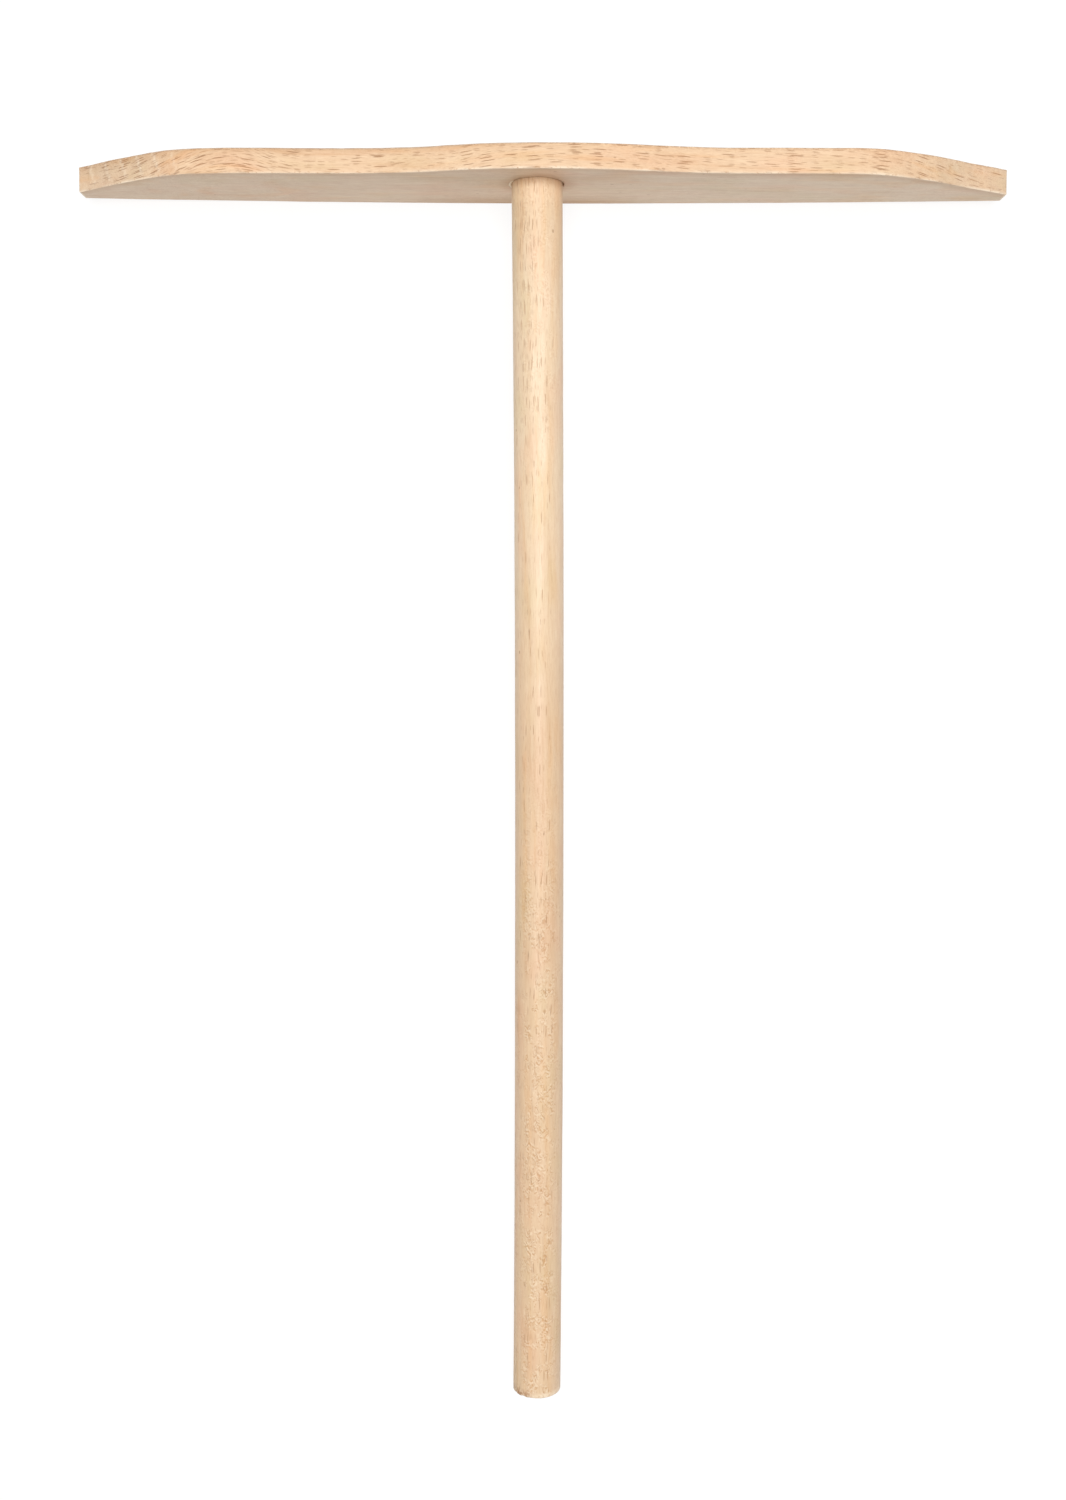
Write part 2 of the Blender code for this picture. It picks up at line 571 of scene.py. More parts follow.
@dataclass(frozen=True)
class BeechFinish:
    """Bare sanded beech, read in its own axes: along the fibres, across them, and out from the pith.

    A face across the rays shows dark lens-shaped strokes, a face along them is plainer, and a face
    across the fibres shows the rings.
    """

    name: str
    flat_sawn: Tones
    quarter_sawn: Tones
    end_grain: Tones
    stroke: Colour
    rosy: Colour
    olive: Colour
    amber: Colour
    # Pale of rubbed wood; also the painted highlight on each fibre tuft.
    worn: Colour
    torn: Colour
    # Tint of stains and of painted shade.
    stain: Colour
    # Painted shade on the pit side of each fibre tuft.
    pit_shade: Colour
    stroke_size: tuple[float, float]
    stroke_share: float
    blotch: float
    roughness: float
    wool_size: Triple = (1.1, 0.72, 0.72)

    def wandering(self, recipe: Recipe) -> Socket:
        """Lets the fibres wander a little from a straight line.

        Args:
            recipe: The material's recipe.

        Returns:
            The socket of the place in the wood.
        """
        place = recipe.read(GRAIN_PLACE, "Vector")
        inputs = {"Vector": recipe.stretch(place, (14.0, 5.0, 5.0)), "Scale": 1.0, "Detail": 2.0}
        swirl = recipe.node("ShaderNodeTexNoise", inputs).outputs["Color"]
        inputs = {0: swirl, 1: (0.9, 0.9, 0.9), 2: place}
        return recipe.node("ShaderNodeVectorMath", inputs, operation="MULTIPLY_ADD").outputs[0]

    def ground(self, recipe: Recipe, place: Feed, streaks: Feed) -> Socket:
        """The colour of the wood by how it is cut, with its blotches.

        Args:
            recipe: The material's recipe.
            place: The place's socket.
            streaks: The streaks' socket.

        Returns:
            The colour's socket.
        """
        blotches = recipe.clouds(recipe.stretch(place, (13.0, 3.0, 4.0), (2, 7, 1)), 3.0, 0.55)
        reading = recipe.plus(recipe.times(streaks, 0.6), recipe.times(blotches, 0.4))
        flat = self.flat_sawn.spread(recipe, reading)
        quarter = self.quarter_sawn.spread(recipe, reading)
        rings = recipe.clouds(recipe.stretch(place, (9.0, 2.6, 0.9), (1, 4, 2)), 3.0, 0.55)
        colour = recipe.blend(recipe.read("quarter_view"), flat, quarter)
        colour = recipe.blend(recipe.read("end_view"), colour, self.end_grain.spread(recipe, rings))
        warm = recipe.clouds(recipe.stretch(place, (24.0, 1.6, 5.0), (3, 1, 8)), 2.0)
        cool = recipe.clouds(recipe.stretch(place, (15.0, 5.0, 6.0), (8, 1, 4)), 2.0)
        tints = ((warm, 0.72, self.amber), (cool, 0.72, self.rosy), (cool, 0.28, self.olive))
        for noise, end, tint in tints:
            share = recipe.times(recipe.ramp(noise, 0.50, end), self.blotch)
            colour = recipe.tinted(share, colour, tint)
        return colour

    def strokes(self, recipe: Recipe, place: Feed) -> Socket:
        """The lens-shaped ends of the rays, in two sizes.

        Args:
            recipe: The material's recipe.
            place: The place's socket.

        Returns:
            A socket that is 1 in a strong stroke and 0 outside.
        """
        busy = recipe.times(recipe.read("busy"), 0.35)
        length, width = self.stroke_size
        long_ones = recipe.dashes(place, (length, width, 5.0), self.stroke_share, busy)
        moved = recipe.stretch(place, (1.0, 1.0, 1.0), (3.7, 5.3, 2.9))
        short_ones = recipe.dashes(moved, (length * 0.55, width * 0.75, 3.0), self.stroke_share, busy)
        both = recipe.maths("MAXIMUM", long_ones, recipe.times(short_ones, 0.6))
        return recipe.times(both, recipe.less(1.0, recipe.times(recipe.read("quarter_view"), 0.92)))

    def wool(self, recipe: Recipe, place: Feed, noise: Feed) -> tuple[Socket, Socket]:
        """Patches of raised fibre tuft and the pit beside it, as sanding leaves them, drawn as an emboss of
        the noise with a painted highlight on one side and painted shade on the other.

        Args:
            recipe: The material's recipe.
            place: The place's socket.
            noise: The wool's noise.

        Returns:
            The sockets of the tuft side and the pit side, each 1 where it is strong; besides the relief,
            the first carries a painted highlight and the second painted shade.
        """
        beside = recipe.stretch(place, self.wool_size, (1.22, 9.1, 5.1))
        slope = recipe.less(noise, recipe.clouds(beside, 2.0, 0.5, 1.3))
        patches = recipe.clouds(recipe.stretch(place, (2.6, 1.5, 1.5), (6, 2, 7)), 2.0)
        patches = recipe.times(recipe.ramp(patches, 0.40, 0.58), recipe.read("woolly"))
        tufts_and_highlight = recipe.times(recipe.ramp(slope, 0.01, 0.13), patches)
        return tufts_and_highlight, recipe.times(recipe.ramp(slope, -0.02, -0.14), patches)

    def aged(self, recipe: Recipe, colour: Feed, noise: Feed) -> Socket:
        """Darkens the colour with stains and painted shade, and wears and tears it, where the mesh's masks
        say so.

        Args:
            recipe: The material's recipe.
            colour: The colour's socket.
            noise: The noise that breaks up the masks.

        Returns:
            The aged colour's socket.
        """
        # Stain tint, which is also painted shade where the masks draw shade.
        colour = recipe.tinted(recipe.read("stain"), colour, self.stain)
        rubbed = recipe.times(recipe.read("worn"), recipe.ramp(noise, 0.28, 0.46))
        colour = recipe.blend(rubbed, colour, self.worn)
        ragged = recipe.times(recipe.read("torn"), recipe.ramp(noise, 0.62, 0.42))
        return recipe.blend(ragged, colour, self.torn)

    def mix(self) -> bpy.types.Material:
        """Writes the material.

        Returns:
            The material.
        """
        recipe = Recipe(self.name)
        place = self.wandering(recipe)
        streaks = recipe.clouds(recipe.stretch(place, (22.0, 0.9, 0.8)), 4.0, 0.6)
        fibres = recipe.clouds(recipe.stretch(place, (2.6, 0.15, 0.15), (5, 3, 9)), 3.0, 0.65)
        noise = recipe.clouds(recipe.stretch(place, self.wool_size, (1, 9, 5)), 2.0, 0.5, 1.3)
        strokes = self.strokes(recipe, place)
        tufts_and_highlight, pits_and_shade = self.wool(recipe, place, noise)
        speckled = recipe.times(recipe.read("woolly"), 0.02)
        specks = recipe.dashes(place, (1.9, 0.9, 0.9), 0.02, speckled, 0.24)

        colour = self.ground(recipe, place, streaks)
        colour = recipe.tinted(recipe.times(recipe.ramp(fibres, 0.38, 0.70), 0.20), colour, self.stroke)
        # Painted shade on the pit side of each fibre tuft.
        colour = recipe.tinted(recipe.times(pits_and_shade, 0.6), colour, self.pit_shade)
        # Painted highlight on the lit side of each fibre tuft, in the pale of rubbed wood.
        colour = recipe.blend(recipe.times(tufts_and_highlight, 0.5), colour, self.worn)
        colour = recipe.blend(recipe.times(strokes, 0.75), colour, self.stroke)
        colour = recipe.blend(recipe.times(specks, 0.55), colour, self.torn)
        colour = self.aged(recipe, colour, noise)

        dullness = recipe.plus(recipe.times(streaks, 0.20), self.roughness - 0.10)
        dullness = recipe.plus(dullness, recipe.times(tufts_and_highlight, 0.15), clamp=True)
        raised = recipe.less(recipe.times(tufts_and_highlight, 0.5), recipe.times(pits_and_shade, 0.5))
        under = recipe.relief(recipe.less(1.0, strokes), 0.05)
        for height, depth in ((raised, 0.05), (fibres, 0.03), (streaks, 0.06)):
            under = recipe.relief(height, depth, under)
        recipe.surface({"Base Color": colour, "Roughness": dullness, "IOR": 1.5, "Normal": under})
        return recipe.material


@dataclass(frozen=True)
class GlueFinish:
    """Hardened wood glue: cream, a little glossy, with wood dust in it."""

    name: str
    clear: Colour
    dusty: Colour

    def mix(self) -> bpy.types.Material:
        """Writes the material.

        Returns:
            The material.
        """
        recipe = Recipe(self.name)
        place = recipe.read(GRAIN_PLACE, "Vector")
        dust = recipe.clouds(recipe.stretch(place, (0.5, 0.5, 0.5)), 4.0, 0.6)
        lumps = recipe.clouds(recipe.stretch(place, (0.9, 0.9, 0.9), (4, 2, 6)), 2.0)
        colour = recipe.blend(recipe.ramp(dust, 0.4, 0.65), self.clear, self.dusty)
        shine = recipe.plus(recipe.times(dust, 0.3), 0.25)
        recipe.surface({"Base Color": colour, "Roughness": shine, "Normal": recipe.relief(lumps, 0.06)})
        return recipe.material


BOARD = BeechFinish(
    name="sanded_beech_board",
    flat_sawn=Tones(pale=srgb(236, 206, 171), middle=srgb(230, 197, 161), deep=srgb(221, 183, 144)),
    quarter_sawn=Tones(pale=srgb(234, 214, 190), middle=srgb(228, 206, 181), deep=srgb(219, 193, 166)),
    end_grain=Tones(pale=srgb(232, 212, 188), middle=srgb(225, 203, 178), deep=srgb(212, 186, 158)),
    stroke=srgb(170, 114, 72),
    rosy=srgb(255, 240, 236),
    olive=srgb(245, 247, 236),
    amber=srgb(255, 236, 212),
    worn=srgb(247, 228, 203),
    torn=srgb(158, 108, 70),
    # Tint of stains and of painted shade.
    stain=srgb(216, 190, 158),
    # Painted shade beside each fibre tuft.
    pit_shade=srgb(226, 200, 170),
    stroke_size=(4.2, 0.24),
    stroke_share=0.42,
    blotch=0.45,
    roughness=0.58,
)
DOWEL = BeechFinish(
    name="sanded_beech_dowel",
    flat_sawn=Tones(pale=srgb(240, 217, 187), middle=srgb(235, 210, 178), deep=srgb(227, 198, 164)),
    quarter_sawn=Tones(pale=srgb(239, 217, 188), middle=srgb(234, 209, 179), deep=srgb(226, 198, 166)),
    end_grain=Tones(pale=srgb(229, 200, 168), middle=srgb(217, 184, 149), deep=srgb(198, 160, 122)),
    stroke=srgb(202, 160, 122),
    rosy=srgb(255, 240, 236),
    olive=srgb(245, 248, 234),
    amber=srgb(255, 240, 220),
    worn=srgb(253, 238, 214),
    torn=srgb(150, 100, 62),
    # Tint of stains and of painted shade.
    stain=srgb(210, 178, 142),
    # Painted shade beside each fibre tuft.
    pit_shade=srgb(222, 194, 162),
    stroke_size=(3.8, 0.22),
    stroke_share=0.15,
    blotch=0.45,
    roughness=0.48,
)
GLUE = GlueFinish(name="hardened_wood_glue", clear=srgb(226, 205, 170), dusty=srgb(206, 176, 134))


def add_piece(name: str, mesh: bpy.types.Mesh) -> bpy.types.Object:
    """Links a mesh to the scene as a smooth-shaded object.

    Args:
        name: The object's name.
        mesh: Its mesh.

    Returns:
        The object.
    """
    mesh.shade_smooth()
    mesh.set_sharp_from_angle(angle=SHARP_ANGLE)
    piece = bpy.data.objects.new(name, mesh)
    bpy.context.scene.collection.objects.link(piece)
    return piece


def turned(profile: Sequence[tuple[float, float]], points: int) -> np.ndarray:
    """Rings turned about the Y axis from a profile.

    Args:
        profile: Radius and Y of each ring, in millimetres.
        points: How many points a ring has.

    Returns:
        Points as rings, points and coordinates.
    """
    angle = np.arange(points) * math.tau / points
    radius = np.array([r for r, _ in profile])[:, None]
    height = np.array([y for _, y in profile])[:, None]
    across = np.broadcast_to(height, (len(profile), points))
    return np.stack([radius * np.cos(angle), across, radius * np.sin(angle)], axis=-1)


@dataclass(frozen=True)
class Blade:
    """The flat board: shaped outline, eased and nicked arrises, cutter ripple and a bore right through."""

    finish: BeechFinish = BOARD
    shape: BladeShape = BladeShape()
    station_step: float = 0.45
    face_rows: int = 46
    edge_rows: int = 10
    arris_rows: int = 4
    arris_radii: tuple[float, ...] = (0.22, 0.16, 0.36, 0.30)
    end_round: float = 0.18
    end_rows: int = 4
    cap_insets: tuple[float, ...] = (0.7, 1.2, 1.8, 2.3)
    skew: float = math.radians(0.148)
    bore_radius: float = 5.24
    bore_points: int = 96
    nicks: tuple[float, ...] = (-68.0, -57.5, -41.5, -31.0, 21.0, 48.0, 55.5, 73.0)
    nick_width: float = 0.7
    nick_depth: float = 0.3
    swirls: tuple[Triple, ...] = (
        (-70.0, 10.0, 0.34),
        (-53.0, 6.0, -0.30),
        (-9.0, 8.0, 0.13),
        (30.0, 20.0, -0.06),
        (78.0, 9.0, -0.20),
    )
    pith_drop: float = 46.0
    cutter_pitch: float = 3.7
    cutter_slant: float = 0.35

    def stations(self) -> tuple[np.ndarray, np.ndarray]:
        """Where the board is cut into rings.

        Returns:
            Each ring's distance from the middle, and how far it is drawn in from the outline.
        """
        half, ease = self.shape.half, self.end_round
        turn = np.linspace(0, math.pi / 2, self.end_rows + 1)
        body = np.linspace(0, half - ease, round((half - ease) / self.station_step) + 1)
        eased = half - ease + ease * np.sin(turn)
        x = np.concatenate([body[:-1], eased, np.full(len(self.cap_insets), half)])
        inset = np.concatenate([np.zeros(len(body) - 1), ease * (1 - np.cos(turn)), self.cap_insets])
        return np.concatenate([-x[:0:-1], x]), np.concatenate([inset[:0:-1], inset])

    def roundings(self, x: np.ndarray) -> list[np.ndarray]:
        """The rounding of the four long arrises, uneven as hand sanding leaves it.

        Args:
            x: Distances from the blade's middle.

        Returns:
            Inner lower, inner upper, outer upper and outer lower radius at each distance.
        """
        line = np.stack([x, np.zeros_like(x), np.zeros_like(x)], axis=1)
        radii = []
        for number, radius in enumerate(self.arris_radii):
            uneven = ripple(line, (9.0, 1, 1), 40 + number) + 0.5 * ripple(line, (1.7, 1, 1), 50 + number)
            radii.append(radius * (1 + 0.2 * uneven))
        left = smooth_step(15.0, -20.0, x) * smooth_step(-88.0, -78.0, x)
        radii[2] = radii[2] * (1 + 1.1 * left)
        for place in self.nicks:
            radii[1] = radii[1] + self.nick_depth * np.exp(-(((x - place) / self.nick_width) ** 2))
        return radii

    def rings(self) -> np.ndarray:
        """The board's rings, each once round its section.

        Returns:
            Points as rings, points and coordinates, in millimetres.
        """
        x, inset = self.stations()
        radii = [np.maximum(r - inset, 0.05) for r in self.roundings(x)]
        low = self.shape.lower(x) + inset
        high = self.shape.upper(x) - inset
        inner, outer = inset, self.shape.thickness - inset
        corners = [
            (inner + radii[0], low + radii[0], radii[0], -math.pi / 2, self.face_rows),
            (inner + radii[1], high - radii[1], radii[1], math.pi, self.edge_rows),
            (outer - radii[2], high - radii[2], radii[2], math.pi / 2, self.face_rows),
            (outer - radii[3], low + radii[3], radii[3], 0.0, self.edge_rows),
        ]
        turns = np.linspace(0, -math.pi / 2, self.arris_rows + 1)
        arcs = []
        for y, z, radius, start, _ in corners:
            angles = [start + t for t in turns]
            arcs.append([(y + radius * math.cos(a), z + radius * math.sin(a)) for a in angles])
        path = []
        for number, arc in enumerate(arcs):
            rows = corners[number][4]
            after = arcs[(number + 1) % 4][0]
            path.extend(arc)
            for row in range(1, rows):
                share = row / rows
                path.append(tuple(arc[-1][k] * (1 - share) + after[k] * share for k in (0, 1)))
        section = np.array(path)
        across = np.broadcast_to(x, section[:, 0].shape)
        return np.stack([across, section[:, 0], section[:, 1]], axis=-1).transpose(1, 0, 2)

    def cutter_wave(self, x: np.ndarray, y: np.ndarray) -> np.ndarray:
        """How deep the slanting cutter marks are across the tapers: 0 on a ridge, 1 in a hollow."""
        return np.abs(np.sin((x + self.cutter_slant * y) * math.pi / self.cutter_pitch))

    def roughen(self, mesh: bpy.types.Mesh) -> None:
        """Adds the board's unevenness: sanding waves on the wide faces, cutter ripple on the edges.

        Args:
            mesh: The board, in millimetres.
        """
        places, normals = read_points(mesh), read_normals(mesh)
        depth = np.minimum(places[:, 1], self.shape.thickness - places[:, 1])
        edge = smooth_step(0.1, 0.5, depth)
        wave = 0.035 * ripple(places, (34, 8, 9), 3) + 0.012 * ripple(places, (7, 0.9, 0.9), 4)
        chatter = 0.016 * ripple(places, (2.4, 9, 50), 5) + 0.014 * ripple(places, (0.8, 0.8, 2.0), 6)
        taper = smooth_step(66, 78, np.abs(places[:, 0]))
        scallop = 0.05 * taper * self.cutter_wave(places[:, 0], places[:, 1])
        push = wave * (1 - edge) + (chatter - scallop) * edge
        write_points(mesh, places + normals * push[:, None])

    def cutter(self) -> bpy.types.Object:
        """The drill for the bore, with a slightly broken mouth on both faces.

        Returns:
            The drill's object, in millimetres.
        """
        reach, mouth = 3.0, 0.09
        back = self.shape.thickness
        profile = [
            (self.bore_radius + mouth + reach * 0.2, -reach),
            (self.bore_radius + mouth, 0.0),
            (self.bore_radius, mouth),
            (self.bore_radius, back - mouth),
            (self.bore_radius + mouth, back),
            (self.bore_radius + mouth + reach * 0.2, back + reach),
        ]
        rings = turned(profile, self.bore_points)
        flat = rings.reshape(-1, 3)
        torn = 1 + 0.012 * ripple(flat, (0.8, 3.0, 0.8), 11) + 0.008 * ripple(flat, (0.35, 2.0, 0.35), 12)
        flat[:, 0] *= torn
        flat[:, 2] *= torn
        return add_piece("bore_drill", mesh_from("bore_drill", flat.reshape(rings.shape)))

    def drilled(self, board: bpy.types.Object) -> bpy.types.Mesh:
        """Cuts the bore.

        Args:
            board: The board's object, in millimetres.

        Returns:
            The drilled board's mesh.
        """
        drill = self.cutter()
        cut = board.modifiers.new("bore", "BOOLEAN")
        cut.operation = "DIFFERENCE"
        cut.solver = "EXACT"
        cut.object = drill
        graph = bpy.context.evaluated_depsgraph_get()
        mesh = bpy.data.meshes.new_from_object(board.evaluated_get(graph), depsgraph=graph)
        bpy.data.objects.remove(drill, do_unlink=True)
        return mesh

    def in_the_wood(self, places: np.ndarray) -> np.ndarray:
        """Turns places on the board into places in the wood, with the fibres' swirls taken out.

        Args:
            places: Points in the maker's axes.

        Returns:
            Distances along the fibres, across them and out from the pith.
        """
        x, y, z = places.T
        sway = sum(slope * width * np.tanh((x - place) / width) for place, width, slope in self.swirls)
        across = y - sway
        out = np.hypot(across * 0.6, z + self.pith_drop) - self.pith_drop
        return np.stack([x, across, out], axis=1)

    def mark(self, mesh: bpy.types.Mesh) -> None:
        """Stores how the wood is cut at each point, where it is worn or torn, and where it is stained or
        darkened by painted shade.

        Args:
            mesh: The drilled board, in millimetres.
        """
        places, normals = read_points(mesh), read_normals(mesh)
        x, y, z = places.T
        shape = self.shape
        inside = np.clip(x - shape.shift, -shape.half, shape.half)
        outward = shape.thickness - y
        below = shape.upper(inside) - z
        above = z - shape.lower(inside)
        rim = np.minimum.reduce([above, below, shape.half - np.abs(inside)])
        bore = np.hypot(x, z) - self.bore_radius
        inner = smooth_step(0.5, 0.1, y)
        left = smooth_step(20, -20, x)
        taper = smooth_step(66, 76, np.abs(inside)) * smooth_step(0.5, 1.2, y) * (1 - inner)

        uneven = 0.55 + 0.45 * ripple(places, (3.5, 5, 5), 21)
        crisp = smooth_step(0.34, 0.12, np.maximum(below, y)) * uneven
        ends = smooth_step(0.35, 0.1, np.maximum(rim, y)) * smooth_step(86, 92, np.abs(inside))
        bands = taper * smooth_step(0.35, 0.05, self.cutter_wave(inside, y)) * left
        # A thin brown line along the outer upper arris.
        outer_crown_line = smooth_step(0.55, 0.2, np.maximum(below, outward))
        lowest = smooth_step(0.4, 0.1, np.maximum(above, y))
        # Darker round the bore: partly a glue stain, partly painted shade where the dowel shades the inner
        # face.
        ring = smooth_step(4.5, 0.0, bore) * smooth_step(1.2, 0.2, np.minimum(y, outward))
        # The inner face darker just below the crown.
        under = smooth_step(4.2, 0.2, below) * inner
        # Painted shade on the inner face near the handle, deepening towards the floor; the inner face is
        # also a little darker to the left.
        near = smooth_step(30.0, 6.0, np.abs(x)) * (0.12 + 0.50 * smooth_step(-6.0, -14.0, z))
        shade_near_handle = inner * (0.12 * smooth_step(30.0, -20.0, x) + near)
        # Painted shade on the rounded outer upper arris, towards the left.
        far = smooth_step(2.2, 0.3, outward) * smooth_step(1.0, 0.2, below) * left

        # Dark rim at the bore's mouth: partly torn wood and glue stain, partly painted shade of the gap
        # round the dowel.
        mouth = smooth_step(0.5, 0.0, bore)
        write_masks(
            mesh,
            quarter_view=smooth_step(0.35, 0.75, np.abs(normals[:, 1])),
            end_view=smooth_step(0.25, 0.9, np.abs(normals[:, 0])),
            worn=np.maximum.reduce([crisp, 0.8 * ends, 0.5 * bands]),
            torn=np.maximum.reduce([0.35 * outer_crown_line, 0.35 * lowest, 0.7 * mouth]),
            stain=np.maximum.reduce([0.55 * ring, 0.42 * under, shade_near_handle, 0.28 * far]),
            busy=smooth_step(24, 6, np.abs(x + 64)) * 0.9,
            woolly=0.12 + 0.16 * smooth_step(66, 78, np.abs(x)) * (1 - inner),
        )
        write_grain(mesh, self.in_the_wood(places))

    def assemble(self, rest: Rest) -> None:
        """Makes the board where it lies.

        Args:
            rest: How the spreader lies.
        """
        raw = mesh_from("board", self.rings())
        self.roughen(raw)
        write_points(raw, read_points(raw) + np.array([self.shape.shift, 0.0, 0.0]))
        block = add_piece("board", raw)
        mesh = self.drilled(block)
        bpy.data.objects.remove(block, do_unlink=True)
        self.mark(mesh)
        turn = np.array(Matrix.Rotation(-self.skew, 3, "Z"))
        write_points(mesh, rest.to_row(read_points(mesh) @ turn.T))
        Part.BLADE.claim(add_piece("blade_board", mesh), self.finish.mix())


@dataclass(frozen=True)
class Handle:
    """The round dowel: slightly bowed, woolly low down, torn at its free end, flush at the back."""

    finish: BeechFinish = DOWEL
    radius: float = 5.0
    back: float = BladeShape.thickness
    end_round: float = 0.5
    slimming: float = 0.09
    face_chamfer: float = 0.15
    bow: float = 0.48
    step: float = 0.5
    points: int = 110
    cap_rings: int = 9
    ray_turn: float = math.radians(24)
    pith: float = 19.0

    def profile(self, length: float) -> list[tuple[float, float]]:
        """The dowel's profile from the middle of one end to the middle of the other.

        Args:
            length: The dowel's length, in millimetres.

        Returns:
            Radius and Y of each ring.
        """
        tip = self.back - length
        ease = self.end_round
        flat, start = self.radius - ease, tip + ease
        turn = np.linspace(-math.pi / 2, 0, 7)
        rounded = [(flat + ease * math.cos(a), start + ease * math.sin(a)) for a in turn]
        count = round((self.back - self.face_chamfer - start) / self.step)
        body = [(self.radius, y) for y in np.linspace(start, self.back - self.face_chamfer, count + 1)[1:]]
        rim = self.radius - self.face_chamfer
        near = [(r, tip) for r in np.linspace(0.2, flat, self.cap_rings)[:-1]]
        far = [(r, self.back) for r in np.linspace(rim, 0.2, self.cap_rings)]
        return near + rounded + body + far

    def torn_share(self, places: np.ndarray, tip: float) -> np.ndarray:
        """How torn the free end's rim is at each point, worst at its left.

        Args:
            places: Points in the maker's axes.
            tip: The free end's Y.

        Returns:
            Shares from 0 to 1.
        """
        x, y, z = places.T
        side = smooth_step(4.2, 0.5, np.hypot(x + 3.6, (z - 2.8) * 0.8))
        return smooth_step(2.2, 0.4, y - tip) * side

    def roughen(self, mesh: bpy.types.Mesh, tip: float) -> None:
        """Adds the dowel's unevenness and its bow.

        Args:
            mesh: The dowel, in millimetres.
            tip: The free end's Y.
        """
        places, normals = read_points(mesh), read_normals(mesh)
        y, z = places[:, 1], places[:, 2]
        free = smooth_step(0.0, -3.0, y)
        low = smooth_step(-120.0, -190.0, y)
        wave = 0.03 * ripple(places, (3, 26, 3), 7) + 0.014 * ripple(places, (1.2, 6, 1.2), 8)
        wool = 0.028 * ripple(places, (0.8, 1.3, 0.8), 9) * (0.25 + low * smooth_step(-1.0, 4.0, z))
        chip = 0.15 * self.torn_share(places, tip) * np.maximum(ripple(places, (0.7, 1.0, 0.7), 10), -0.2)
        slim = self.slimming * smooth_step(-8.0, -60.0, y)
        push = free * (wave + wool) - chip - slim
        moved = places + normals * push[:, None]
        reach = tip / 2
        moved[:, 0] += self.bow * np.clip(1 - ((y - reach) / reach) ** 2, 0, 1)
        write_points(mesh, moved)

    def in_the_wood(self, places: np.ndarray) -> np.ndarray:
        """Turns places on the dowel into places in the wood.

        Args:
            places: Points in the maker's axes.

        Returns:
            Distances along the fibres, across them and out from the pith.
        """
        x, y, z = places.T
        across = x * math.cos(self.ray_turn) + z * math.sin(self.ray_turn)
        up = z * math.cos(self.ray_turn) - x * math.sin(self.ray_turn)
        return np.stack([y, across, np.hypot(across, up + self.pith) - self.pith], axis=1)

    def mark(self, mesh: bpy.types.Mesh, tip: float) -> None:
        """Stores how the wood is cut at each point, where it is worn or torn, and where it is stained or
        darkened by painted shade.

        Args:
            mesh: The dowel before its bow, in millimetres.
            tip: The free end's Y.
        """
        places, normals = read_points(mesh), read_normals(mesh)
        x, y, z = places.T
        torn = self.torn_share(places, tip)
        radial = normals[:, 2] * math.cos(self.ray_turn) - normals[:, 0] * math.sin(self.ray_turn)
        rim = smooth_step(self.radius - 0.6, self.radius - 0.1, np.hypot(x, z))
        tip_rim = rim * smooth_step(tip + 1.5, tip + 0.6, y)
        upper = smooth_step(-70.0, -20.0, y)
        left = smooth_step(1.0, -1.5, x) * smooth_step(-4.8, -3.4, x)
        low = smooth_step(-105.0, -165.0, y)
        # Painted shade: darker from the middle towards the free end, where the light falls off, and near
        # the blade, where the blade shades the dowel, partly with grime.
        shade_along_dowel = 0.29 * smooth_step(-55.0, -120.0, y) + 0.14 * smooth_step(-18.0, -4.0, y)
        # The woolly patches, with their relief and their painted highlight and shade, lie mostly along the
        # dowel's top.
        crest = 0.35 + 0.65 * smooth_step(3.4, 4.7, z)
        write_masks(
            mesh,
            quarter_view=smooth_step(0.75, 0.2, np.abs(radial)),
            end_view=smooth_step(0.5, 0.95, np.abs(normals[:, 1])),
            worn=tip_rim * 0.4 * (1 - torn),
            torn=torn,
            # Just in front of the blade the dowel is darker: partly glue stain, partly painted shade in the
            # corner between dowel and blade.
            stain=np.maximum(0.5 * smooth_step(-2.2, -0.2, y), shade_along_dowel),
            busy=upper * left,
            woolly=0.08 + 0.92 * crest * np.maximum(low, 0.3 * upper),
        )
        write_grain(mesh, self.in_the_wood(places))

    def assemble(self, rest: Rest) -> None:
        """Makes the dowel where it lies.

        Args:
            rest: How the spreader lies.
        """
        tip = self.back - rest.dowel_length
        mesh = mesh_from("dowel", turned(self.profile(rest.dowel_length), self.points))
        self.mark(mesh, tip)
        self.roughen(mesh, tip)
        write_points(mesh, rest.to_row(read_points(mesh)))
        Part.HANDLE.claim(add_piece("dowel_handle", mesh), self.finish.mix())


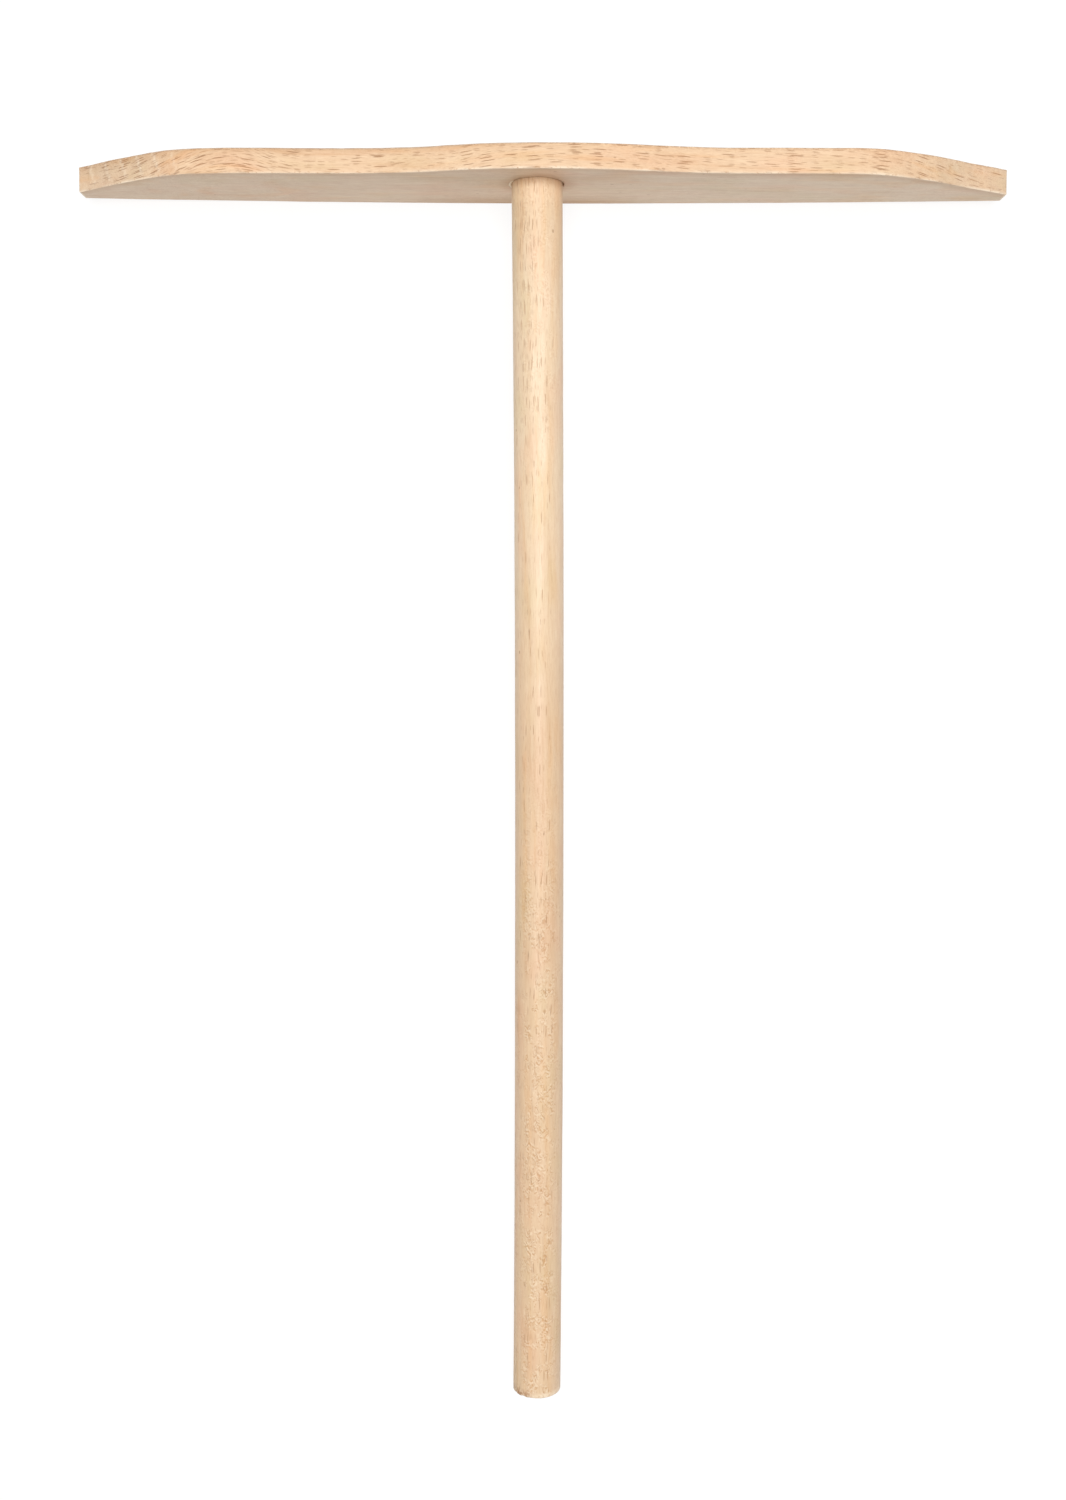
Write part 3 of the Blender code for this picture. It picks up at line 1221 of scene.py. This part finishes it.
@dataclass(frozen=True)
class GlueJoint:
    """The glue between dowel and bore: a sunken sleeve, and a bead squeezed out at the left."""

    finish: GlueFinish = GLUE
    inner: float = 5.06
    outer: float = 5.19
    front: float = 0.6
    back: float = 4.6
    points: int = 96
    bead_centre: float = 5.28
    bead_start: float = math.radians(148)
    bead_end: float = math.radians(222)
    bead_radius: float = 0.30
    bead_steps: int = 40
    bead_points: int = 12

    def sleeve(self) -> bpy.types.Mesh:
        """Makes the sleeve, with a wavy sunken front.

        Returns:
            The sleeve's mesh, in millimetres.
        """
        middle = (self.inner + self.outer) / 2
        wall = (self.outer - self.inner) / 2
        arc = np.linspace(0, math.pi, 7)
        meniscus = [(middle + wall * math.cos(a), 0.2 * abs(math.cos(a))) for a in arc]
        rows = np.linspace(self.front, self.back, 8)
        section = [(self.outer, y) for y in rows[::-1]]
        section += [(r, self.front + d - 0.2) for r, d in meniscus[1:-1]]
        section += [(self.inner, y) for y in rows]
        rings = turned(section, self.points)
        flat = rings.reshape(-1, 3)
        front = smooth_step(self.front + 0.8, self.front, flat[:, 1])
        flat[:, 1] += front * 0.35 * ripple(flat, (1.8, 9, 1.8), 14)
        return mesh_from("sleeve", flat.reshape(rings.shape), looped=True)

    def bead(self) -> bpy.types.Mesh:
        """Makes the squeezed-out bead, a crescent that thins to both ends.

        Returns:
            The bead's mesh, in millimetres.
        """
        share = np.linspace(0, 1, self.bead_steps)
        angle = self.bead_start + (self.bead_end - self.bead_start) * share
        line = np.stack([angle, share, share], axis=1)
        lump = 1 + 0.25 * ripple(line, (0.12, 9, 9), 15)
        thick = self.bead_radius * np.sqrt(np.sin(np.clip(share, 0.02, 0.98) * math.pi)) * lump
        around = np.arange(self.bead_points) * math.tau / self.bead_points
        radius = self.bead_centre + thick[:, None] * np.cos(around)
        depth = 0.05 + 0.75 * thick[:, None] * np.sin(around)
        rings = np.stack([radius * np.cos(angle)[:, None], depth, radius * np.sin(angle)[:, None]], axis=-1)
        return mesh_from("bead", rings)

    def assemble(self, rest: Rest) -> None:
        """Makes the glue where it lies.

        Args:
            rest: How the spreader lies.
        """
        finish = self.finish.mix()
        for name, mesh in (("glue_sleeve_ring", self.sleeve()), ("glue_bead", self.bead())):
            places = read_points(mesh)
            write_grain(mesh, places)
            write_points(mesh, rest.to_row(places))
            Part.GLUE.claim(add_piece(name, mesh), finish)


@dataclass(frozen=True)
class Studio:
    """Pale floor, soft light from above and the camera that looks down on the spreader."""

    floor_size: float = 40.0
    floor_colour: Colour = srgb(108, 108, 108)
    floor_glow: float = 0.85
    glow_reach: tuple[float, float] = (0.4, 2.4)
    sky_strength: float = 0.2
    lamp_power: float = 16.5
    lamp_size: float = 0.8
    lamp_place: Triple = (35.0, -20.0, 1200.0)
    lamp_colour: Triple = (1.0, 0.99, 0.975)
    camera_place: Triple = (-0.80, -85.62, 320.09)
    camera_tilt: float = math.radians(4.612)
    lens: float = 38.15
    sensor: float = 36.0

    def floor(self) -> None:
        """Lays the floor just under the object."""
        half = self.floor_size / 2
        mesh = bpy.data.meshes.new("worktop")
        corners = [(-half, -half, 0.0), (half, -half, 0.0), (half, half, 0.0), (-half, half, 0.0)]
        mesh.from_pydata(corners, [], [(0, 1, 2, 3)])
        worktop = bpy.data.objects.new("worktop", mesh)
        worktop.location.z = -0.05 * MM
        bpy.context.scene.collection.objects.link(worktop)
        recipe = Recipe("pale_worktop")
        place = recipe.node("ShaderNodeTexCoord").outputs["Object"]
        away = recipe.node("ShaderNodeVectorMath", {0: place}, operation="LENGTH").outputs["Value"]
        glow = recipe.times(recipe.ramp(away, *self.glow_reach), 1 - self.floor_glow)
        glow = recipe.plus(glow, self.floor_glow)
        recipe.surface({"Base Color": self.floor_colour, "Roughness": 0.9})
        recipe.surface({"Emission Color": WHITE, "Emission Strength": glow})
        mesh.materials.append(recipe.material)

    def sky(self) -> None:
        """Sets the even light that comes from all round, behind a white backdrop."""
        world = bpy.data.worlds.new("studio")
        bpy.context.scene.world = world
        world.use_nodes = True
        tree = world.node_tree
        light = tree.nodes["Background"]
        light.inputs["Color"].default_value = WHITE
        light.inputs["Strength"].default_value = self.sky_strength
        seen = tree.nodes.new("ShaderNodeBackground")
        seen.inputs["Color"].default_value = WHITE
        ray = tree.nodes.new("ShaderNodeLightPath")
        choice = tree.nodes.new("ShaderNodeMixShader")
        tree.links.new(ray.outputs["Is Camera Ray"], choice.inputs[0])
        tree.links.new(light.outputs[0], choice.inputs[1])
        tree.links.new(seen.outputs[0], choice.inputs[2])
        tree.links.new(choice.outputs[0], tree.nodes["World Output"].inputs["Surface"])

    def lamp(self, rest: Rest) -> None:
        """Hangs the soft lamp over the spreader.

        Args:
            rest: How the spreader lies.
        """
        data = bpy.data.lights.new("softbox", "AREA")
        data.shape = "SQUARE"
        data.size = self.lamp_size
        data.energy = self.lamp_power
        data.color = self.lamp_colour
        lamp = bpy.data.objects.new("softbox", data)
        lamp.location = rest.from_mm @ Vector(self.lamp_place)
        bpy.context.scene.collection.objects.link(lamp)

    def camera(self, rest: Rest) -> None:
        """Places the camera over the spreader.

        Args:
            rest: How the spreader lies.
        """
        data = bpy.data.cameras.new("view")
        data.sensor_width = self.sensor
        data.lens = self.lens
        data.clip_start = 0.01
        camera = bpy.data.objects.new("view", data)
        camera.location = rest.from_mm @ Vector(self.camera_place)
        camera.rotation_euler = (rest.tilt - self.camera_tilt, 0.0, 0.0)
        bpy.context.scene.collection.objects.link(camera)
        bpy.context.scene.camera = camera

    def build(self, rest: Rest) -> None:
        """Sets up the whole studio.

        Args:
            rest: How the spreader lies.
        """
        self.floor()
        self.sky()
        self.lamp(rest)
        self.camera(rest)
        bpy.context.scene.view_settings.view_transform = "Standard"
        log.info("studio: floor, sky, lamp and camera in place")


def main() -> None:
    """Builds the studio and the spreader's pieces."""
    logging.basicConfig(level=logging.INFO, format="%(name)s: %(message)s")
    rest = Rest(frame["record"])
    Studio().build(rest)
    for assembly in (Blade(), Handle(), GlueJoint()):
        assembly.assemble(rest)


if __name__ == "__main__":
    main()
